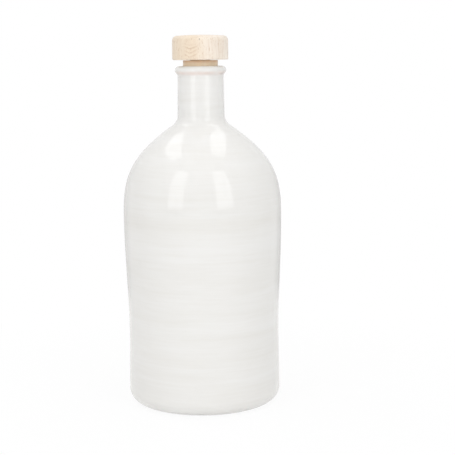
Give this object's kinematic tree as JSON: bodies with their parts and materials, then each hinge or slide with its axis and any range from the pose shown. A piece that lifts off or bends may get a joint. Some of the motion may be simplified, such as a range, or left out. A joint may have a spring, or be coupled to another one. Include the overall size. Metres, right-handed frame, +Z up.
{
  "type": "oil bottle",
  "caption": "Glazed stoneware oil bottle with a round shoulder, narrow neck and rounded lip, closed by a turned wooden stopper with a disc head that lifts out and turns.",
  "frame": {"origin": "middle of the foot ring, on the surface that the bottle stands on", "axes": "+Z up along the bottle's own axis, which is also the stopper's axis; X and Y are free, because the bottle is round"},
  "size_m": [0.11, 0.11, 0.2557],
  "materials": {
    "glazed_stoneware": "gloss",
    "beech": "satin",
    "silicone": "satin"
  },
  "bodies": {
    "bottle": {"bottle_body": "glazed_stoneware"},
    "seals": {"seal_ring_upper": "silicone", "seal_ring_lower": "silicone"},
    "stopper": {"stopper_head": "beech", "stopper_shank": "beech"}
  },
  "joints": [
    {"name": "stopper_lift", "type": "slide", "parent": "bottle", "child": "seals", "axis": [0, 0, 1], "range_m": [-0.0038, 0.06]},
    {"name": "stopper_twist", "type": "hinge", "parent": "seals", "child": "stopper", "pos_m": [0, 0, 0.2345], "axis": [0, 0, 1], "continuous": true}
  ]
}
